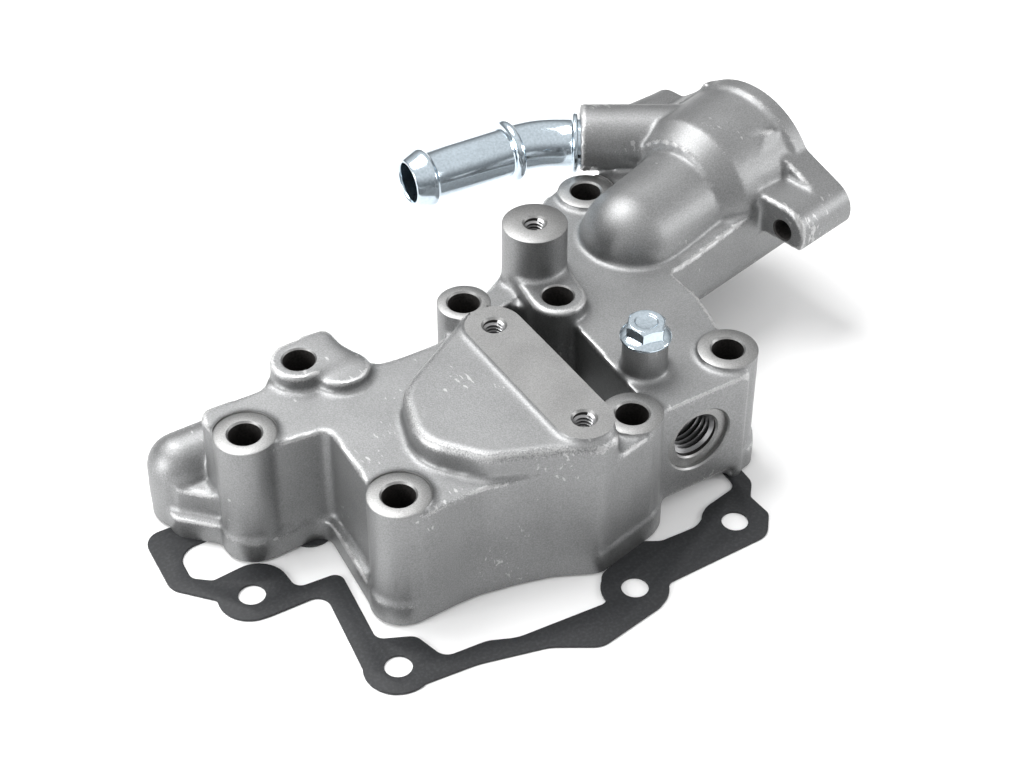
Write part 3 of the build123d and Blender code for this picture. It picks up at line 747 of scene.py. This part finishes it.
    def square_off(self, piece: bpy.types.Object) -> None:
        """Machine the gasket face, the mouth face and the pad flat."""
        below = bmesh.new()
        self.slab(below, Vector((0, 0.05, 0)), Vector((0, 0, -1)), 0.4)
        merge_with(piece, below, Machining.CUT)
        point, out, _, _ = mount_place("mouth_face")
        beyond = bmesh.new()
        self.slab(beyond, point, out, 0.2)
        merge_with(piece, beyond, Machining.CUT)
        pad = bmesh.new()
        for height in (0.0, 5 * MM):
            for end in self.pad_ends:
                bmesh.ops.create_circle(pad, segments=64, radius=self.pad_radius,
                                        matrix=Matrix.Translation(end + UP * height))
        hull = bmesh.ops.convex_hull(pad, input=pad.verts)
        spare = [item for key in ("geom_interior", "geom_unused") for item in hull[key]]
        bmesh.ops.delete(pad, geom=list({i for i in spare if isinstance(i, bmesh.types.BMVert)}), context="VERTS")
        bmesh.ops.recalc_face_normals(pad, faces=pad.faces)
        for face in pad.faces:
            face.material_index = Skin.MACHINED
        merge_with(piece, pad, Machining.CUT)

    def slab(self, bm: bmesh.types.BMesh, point: Vector, out: Vector, side: float) -> None:
        """Add the box that a flat cut takes away.

        Args:
            bm: The mesh to add to.
            point: A point on the cut.
            out: The way out of the metal.
            side: The box's side.
        """
        size = Matrix.Diagonal((side, side, 10 * MM, 1))
        bmesh.ops.create_cube(bm, size=1.0, matrix=facing(point + out * 5 * MM, out) @ size)
        for face in bm.faces:
            face.material_index = Skin.MACHINED

    def cut_threads(self, piece: bpy.types.Object, bores: list[Bore]) -> None:
        """Set the thread ridges into their holes."""
        strands = bmesh.new()
        for bore in bores:
            bore.thread(strands)
        threads = bpy.data.meshes.new("threads")
        strands.to_mesh(threads)
        strands.free()
        bm = bmesh.new()
        bm.from_mesh(piece.data)
        wide = [face for face in bm.faces if len(face.verts) > 4]
        bmesh.ops.triangulate(bm, faces=wide, ngon_method="BEAUTY")
        bm.from_mesh(threads)
        bm.to_mesh(piece.data)
        bm.free()
        bpy.data.meshes.remove(threads)


def mark_crests(piece: bpy.types.Object, full_radius: float = 1.8 * MM, passes: int = 2) -> None:
    """Write how sharply each point of a piece bulges to its crest attribute.

    Args:
        piece: The piece to mark.
        full_radius: The edge radius that counts as a full crest.
        passes: How often the result is averaged with the neighbours.
    """
    mesh = piece.data
    count = len(mesh.vertices)
    points = np.empty(count * 3)
    mesh.vertices.foreach_get("co", points)
    points = points.reshape(-1, 3)
    normals = np.empty(count * 3)
    mesh.vertices.foreach_get("normal", normals)
    normals = normals.reshape(-1, 3)
    edges = np.empty(len(mesh.edges) * 2, int)
    mesh.edges.foreach_get("vertices", edges)
    first, second = edges.reshape(-1, 2).T
    step = points[second] - points[first]
    length = np.maximum((step ** 2).sum(1), (0.2 * MM) ** 2)
    bend = np.zeros(count)
    share = np.zeros(count)
    for here, side in ((first, -1), (second, 1)):
        np.add.at(bend, here, side * (step * normals[here]).sum(1) * 2 / length)
        np.add.at(share, here, 1)
    bend = bend / np.maximum(share, 1) * full_radius * 2
    for _ in range(passes):
        total, near = bend.copy(), np.ones(count)
        np.add.at(total, first, bend[second])
        np.add.at(total, second, bend[first])
        np.add.at(near, first, 1)
        np.add.at(near, second, 1)
        bend = total / near
    crest = mesh.attributes.new(CREST, "FLOAT", "POINT")
    crest.data.foreach_set("value", np.clip(bend, -1, 1).astype(np.float32))


# The plated pieces

@dataclass
class HoseNozzle:
    """The bent tube with its barb, collar and shoulder ring, drawn as rings along its path.

    Attributes:
        start: The tube's inner end, in the casting.
        corner: The corner that its bend rounds.
        tip: The end that the hose goes over.
        bend_radius: The bend's radius.
        radius: The tube's outer radius.
        bore: The tube's inner radius.
    """

    start: Vector = Vector((63.28, 99.94, 44.5)) * MM
    corner: Vector = Vector((41.23, 113.72, 44.5)) * MM
    tip: Vector = Vector((-2.2, 116.1, 44.5)) * MM
    bend_radius: float = 25 * MM
    radius: float = 7.4 * MM
    bore: float = 6.1 * MM

    def build(self) -> bpy.types.Object:
        """Draw the tube.

        Returns:
            The finished piece, which stands for the nozzle's node.
        """
        outside = [(self.at(along), radius) for along, radius in self.profile()]
        total = self.length()
        inside = [(self.at(total * (1 - number / 60)), self.bore) for number in range(61)]
        inside[0] = (self.at(total), self.bore + 0.35 * MM)
        inside.insert(1, (self.at(total - 0.35 * MM), self.bore))
        bm = bmesh.new()
        skin_rings(bm, outside + inside, 72, closed=True)
        piece = mesh_piece("hose_nozzle_tube", bm, [ZINC.material()], 50.0)
        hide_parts("hose_nozzle")
        return piece

    def runs(self) -> tuple[Vector, Vector, float, float, float]:
        """The two directions, the bend's angle, and the lengths of the first run and of the bend."""
        first = (self.corner - self.start).normalized()
        last = (self.tip - self.corner).normalized()
        turn = first.angle(last)
        cut = self.bend_radius * math.tan(turn / 2)
        return first, last, turn, (self.corner - self.start).length - cut, self.bend_radius * turn

    def length(self) -> float:
        """The tube's length along its path."""
        _, _, turn, straight, bend = self.runs()
        return straight + bend + (self.tip - self.corner).length - self.bend_radius * math.tan(turn / 2)

    def at(self, along: float) -> Matrix:
        """The frame square to the path at a distance from its inner end."""
        first, last, turn, straight, bend = self.runs()
        if along <= straight:
            return facing(self.start + first * along, first)
        if along >= straight + bend:
            return facing(self.tip - last * (self.length() - along), last)
        angle = (along - straight) / self.bend_radius
        side = (last - first * first.dot(last)).normalized()
        centre = self.start + first * straight + side * self.bend_radius
        way = first * math.cos(angle) + side * math.sin(angle)
        return facing(centre + (first * math.sin(angle) - side * math.cos(angle)) * self.bend_radius, way)

    def profile(self) -> list[tuple[float, float]]:
        """Distances from the inner end, each with the outer radius."""
        total = self.length()
        shoulder = 12.8 * MM
        rows = [(0.0, self.radius - 0.4 * MM), (0.4 * MM, self.radius), (6 * MM, self.radius)]
        rows += [(shoulder, self.radius), (shoulder, 8.9 * MM), (shoulder + 0.4 * MM, 9.3 * MM),
                 (shoulder + 1.2 * MM, 9.3 * MM), (shoulder + 1.6 * MM, 8.9 * MM), (shoulder + 1.6 * MM, 7.7 * MM),
                 (shoulder + 1.9 * MM, self.radius)]
        collar = total - 34.7 * MM
        _, _, _, straight, bend = self.runs()
        bend_start, bend_end = max(straight, shoulder + 3 * MM), min(straight + bend, collar - 2.4 * MM)
        rows += [(bend_start + (bend_end - bend_start) * n / 20, self.radius) for n in range(21)]
        rows += [(collar - 2.0 * MM, self.radius), (collar - 1.8 * MM, self.radius + 0.25 * MM)]
        rows += [(collar + 1.7 * MM * math.sin(t), self.radius + 0.3 * MM + 1.85 * MM * math.cos(t))
                 for t in (math.radians(a) for a in range(-84, 85, 14))]
        rows += [(collar + 1.8 * MM, self.radius + 0.25 * MM), (collar + 2.0 * MM, self.radius)]
        rows += [(total - 14 * MM, self.radius), (total - 7.6 * MM, self.radius),
                 (total - 7.2 * MM, self.radius + 0.15 * MM), (total - 6.3 * MM, 8.75 * MM),
                 (total - 5.9 * MM, 8.95 * MM), (total - 5.1 * MM, 8.95 * MM), (total - 4.6 * MM, 8.8 * MM),
                 (total - 0.6 * MM, 7.2 * MM), (total - 0.15 * MM, 6.95 * MM), (total, 6.75 * MM)]
        return rows


@dataclass
class BleedScrew:
    """The hex flange screw in its boss.

    Attributes:
        seat: The middle of its flange's underside.
        head_turn: How far its hexagon is turned, in degrees.
        flats: Its width across flats.
    """

    seat: Vector = SCREW_SEAT
    head_turn: float = 48.0
    flats: float = 10.0 * MM

    def build(self) -> bpy.types.Object:
        """Shape the head, the flange and the shank.

        Returns:
            The finished piece, which stands for the screw's node.
        """
        bm = bmesh.new()
        turned(bm, self.seat, UP, [(-11.9 * MM, 2.4 * MM), (-11.4 * MM, 2.9 * MM), (0.0, 2.9 * MM),
                                   (0.0, 6.9 * MM), (0.15 * MM, 7.15 * MM), (0.75 * MM, 7.15 * MM),
                                   (1.0 * MM, 6.95 * MM), (1.9 * MM, 5.5 * MM), (2.1 * MM, 4.6 * MM)])
        piece = mesh_piece("bleed_screw_body", bm, [ZINC.material()])
        merge_with(piece, self.head(), Machining.ADD)
        round_edges(piece, 0.18 * MM, 25.0)
        shade(piece, 50.0)
        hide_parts("bleed_screw")
        return piece

    def head(self) -> bmesh.types.BMesh:
        """The hexagon with its turned corners and the shallow dish in its top."""
        corner = self.flats / math.sqrt(3)
        shape = bmesh.new()
        turned(shape, self.seat, UP, [(0.9 * MM, corner + MM), (4.7 * MM, corner + 0.1 * MM),
                                      (5.55 * MM, 4.75 * MM), (5.55 * MM, 3.3 * MM), (5.15 * MM, 2.9 * MM),
                                      (5.15 * MM, 1.0 * MM)])
        cone = mesh_piece("head_cone", shape, [])
        block = bmesh.new()
        turn = Matrix.Rotation(math.radians(self.head_turn + 30.0), 4, "Z")
        rings = [(Matrix.Translation(self.seat + UP * height) @ turn, corner) for height in (1.2 * MM, 5.9 * MM)]
        skin_rings(block, rings, 6)
        merge_with(cone, block, Machining.KEEP)
        made = bmesh.new()
        made.from_mesh(cone.data)
        bpy.data.objects.remove(cone)
        return made


@dataclass
class ReturnSpring:
    """The coil spring behind the valve disc; the real one shortens as the valve opens, and this one is drawn at one
    length.

    Attributes:
        base: The middle of its seat on the bracket.
        axis: The way out of the mouth.
        coil_radius: The coil's radius, at the middle of the wire.
        wire_radius: The wire's radius.
        length: The distance between its end turns' middles.
        turns: The working turns.
        steps: How many steps one turn has.
        lift: The gap under the first turn.
    """

    base: Vector = Vector((78.194, 77.042, 37.0)) * MM
    axis: Vector = Vector((0.978148, 0.207912, 0.0))
    coil_radius: float = 9.5 * MM
    wire_radius: float = 0.7 * MM
    length: float = 16.5 * MM
    turns: float = 3.5
    steps: int = 28
    lift: float = 0.06 * MM

    def build(self) -> bpy.types.Object:
        """Wind the wire.

        Returns:
            The finished piece, which stands for the spring's node.
        """
        bm = bmesh.new()
        total = int((self.turns + 1.5) * self.steps)
        square = facing(self.base, self.axis).to_3x3()
        side, rise = square.col[0], square.col[1]
        points = []
        for number in range(total + 1):
            turn = number / self.steps
            working = min(max(turn - 0.75, 0.0), self.turns)
            angle = 2 * math.pi * turn
            ring = (side * math.cos(angle) + rise * math.sin(angle)) * self.coil_radius
            along = self.wire_radius + self.lift + self.length * working / self.turns
            points.append(self.base + self.axis * along + ring)
        rings = []
        for number, point in enumerate(points):
            before, after = points[max(number - 1, 0)], points[min(number + 1, total)]
            way = (after - before).normalized()
            out = (point - self.base).cross(way).normalized()
            tilt = Matrix((out, way.cross(out), way)).transposed().to_4x4()
            tilt.translation = point
            rings.append((tilt, self.wire_radius))
        skin_rings(bm, rings, 12)
        piece = mesh_piece("return_spring", bm, [STAMPED.material()], 60.0)
        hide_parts("main_spring")
        return piece


def eased_copy(name: str, finish: bpy.types.Material, width: float) -> bpy.types.Object:
    """Stand in for a CAD node with a copy whose edges are slightly rounded.

    Args:
        name: The node's name.
        finish: The copy's material.
        width: How wide the rounding is.

    Returns:
        The copy, which replaces the node.
    """
    bm = bmesh.new()
    bm.from_mesh(frame["nodes"][name].data)
    bmesh.ops.remove_doubles(bm, verts=bm.verts, dist=WELD)
    bmesh.ops.dissolve_limit(bm, angle_limit=math.radians(1.0), verts=bm.verts, edges=bm.edges)
    piece = mesh_piece(f"{name}_piece", bm, [finish])
    round_edges(piece, width, 40.0)
    shade(piece, 40.0)
    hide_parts(name)
    return piece


# Camera, floor and light

@dataclass(frozen=True)
class Studio:
    """The pale floor, the soft light and the camera at the photograph's angle.

    Attributes:
        eye: Where the camera stands.
        target: What it looks at.
        lens: The focal length, in millimetres on a 36 mm sensor.
        floor_height: The floor, just under the gasket.
    """

    eye: Vector = Vector((-0.2496, -0.3389, 0.4159))
    target: Vector = Vector((0.0030, 0.0654, -0.0008))
    lens: float = 74.28
    floor_height: float = -0.8 * MM

    def build(self) -> None:
        """Set up the camera, the floor and the lights."""
        self.camera()
        self.floor()
        self.light("top_softbox", Vector((-0.15, 0.45, 0.9)), Vector((0.0, 0.05, 0.0)), 0.6, 9.0)
        self.light("left_softbox", Vector((-0.95, 0.10, 0.35)), Vector((0.0, 0.05, 0.02)), 0.4, 6.0)
        self.light("right_strip", Vector((0.75, -0.45, 0.35)), Vector((0.05, 0.03, 0.03)), 0.25, 2.5)
        scene = bpy.context.scene
        world = scene.world or bpy.data.worlds.new("world")
        scene.world = world
        world.use_nodes = True
        self.sky(world.node_tree, world.node_tree.nodes["Background"])
        scene.view_settings.view_transform = "Standard"

    def sky(self, tree: bpy.types.NodeTree, background: bpy.types.ShaderNode) -> None:
        """Light the room softly from above, and leave it darker towards the horizon."""
        way = tree.nodes.new("ShaderNodeTexCoord").outputs["Generated"]
        split = tree.nodes.new("ShaderNodeSeparateXYZ")
        tree.links.new(way, split.inputs["Vector"])
        ramp = tree.nodes.new("ShaderNodeValToRGB")
        ramp.color_ramp.interpolation = "EASE"
        ramp.color_ramp.elements[0].position = 0.10
        ramp.color_ramp.elements[0].color = (0.28, 0.285, 0.29, 1)
        ramp.color_ramp.elements[1].position = 0.75
        ramp.color_ramp.elements[1].color = (1.0, 1.0, 1.0, 1)
        tree.links.new(split.outputs["Z"], ramp.inputs["Fac"])
        tree.links.new(ramp.outputs["Color"], background.inputs["Color"])
        background.inputs["Strength"].default_value = 0.9

    def camera(self) -> None:
        """Place the camera."""
        data = bpy.data.cameras.new("camera")
        data.lens = self.lens
        data.sensor_width = 36.0
        data.clip_start = 0.01
        eye = bpy.data.objects.new("camera", data)
        eye.location = self.eye
        eye.rotation_euler = (self.target - self.eye).to_track_quat("-Z", "Y").to_euler()
        bpy.context.scene.collection.objects.link(eye)
        bpy.context.scene.camera = eye

    def floor(self) -> None:
        """Lay the pale floor."""
        bm = bmesh.new()
        bmesh.ops.create_grid(bm, x_segments=1, y_segments=1, size=4.0,
                              matrix=Matrix.Translation((0, 0, self.floor_height)))
        material = bpy.data.materials.new("pale_floor")
        material.use_nodes = True
        shader = material.node_tree.nodes["Principled BSDF"]
        shader.inputs["Base Color"].default_value = (0.93, 0.93, 0.93, 1)
        shader.inputs["Roughness"].default_value = 0.8
        mesh_piece("floor", bm, [material])

    def light(self, name: str, place: Vector, aim: Vector, size: float, power: float) -> None:
        """Hang one square soft light.

        Args:
            name: The light's name.
            place: Where it hangs.
            aim: What it points at.
            size: Its side.
            power: Its power, in watts.
        """
        data = bpy.data.lights.new(name, "AREA")
        data.shape = "SQUARE"
        data.size = size
        data.energy = power
        lamp = bpy.data.objects.new(name, data)
        lamp.location = place
        lamp.rotation_euler = (aim - place).to_track_quat("-Z", "Y").to_euler()
        bpy.context.scene.collection.objects.link(lamp)


def attach(piece: bpy.types.Object, body: str) -> None:
    """Let a piece ride on its body, and log its face count."""
    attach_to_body(piece, body)
    log.info("%s: %d faces", piece.name, len(piece.data.polygons))


def main() -> None:
    """Build the pieces in order."""
    logging.basicConfig(level=logging.INFO, format="%(message)s")
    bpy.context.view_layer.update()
    Studio().build()

    attach(Casting().build(), CASTING_BODY)
    attach(HoseNozzle().build(), CASTING_BODY)
    attach(BleedScrew().build(), CASTING_BODY)
    attach(eased_copy("gasket", FIBRE.material(), 0.12 * MM), CASTING_BODY)
    attach(eased_copy("thermostat_seal", RUBBER.material(), 0.3 * MM), CASTING_BODY)
    stamped = STAMPED.material()
    attach(eased_copy("thermostat_frame", stamped, 0.2 * MM), CASTING_BODY)
    attach(eased_copy("spring_bracket", stamped, 0.2 * MM), CASTING_BODY)
    attach(eased_copy("piston_pin", stamped, 0.2 * MM), CASTING_BODY)
    attach(eased_copy("thermostat_valve", stamped, 0.2 * MM), VALVE_BODY)
    attach(eased_copy("wax_capsule", BRASS.material(), 0.2 * MM), VALVE_BODY)
    spring = ReturnSpring()
    coil = spring.build()
    attach(coil, CASTING_BODY)
    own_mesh(coil)


if __name__ == "__main__":
    main()
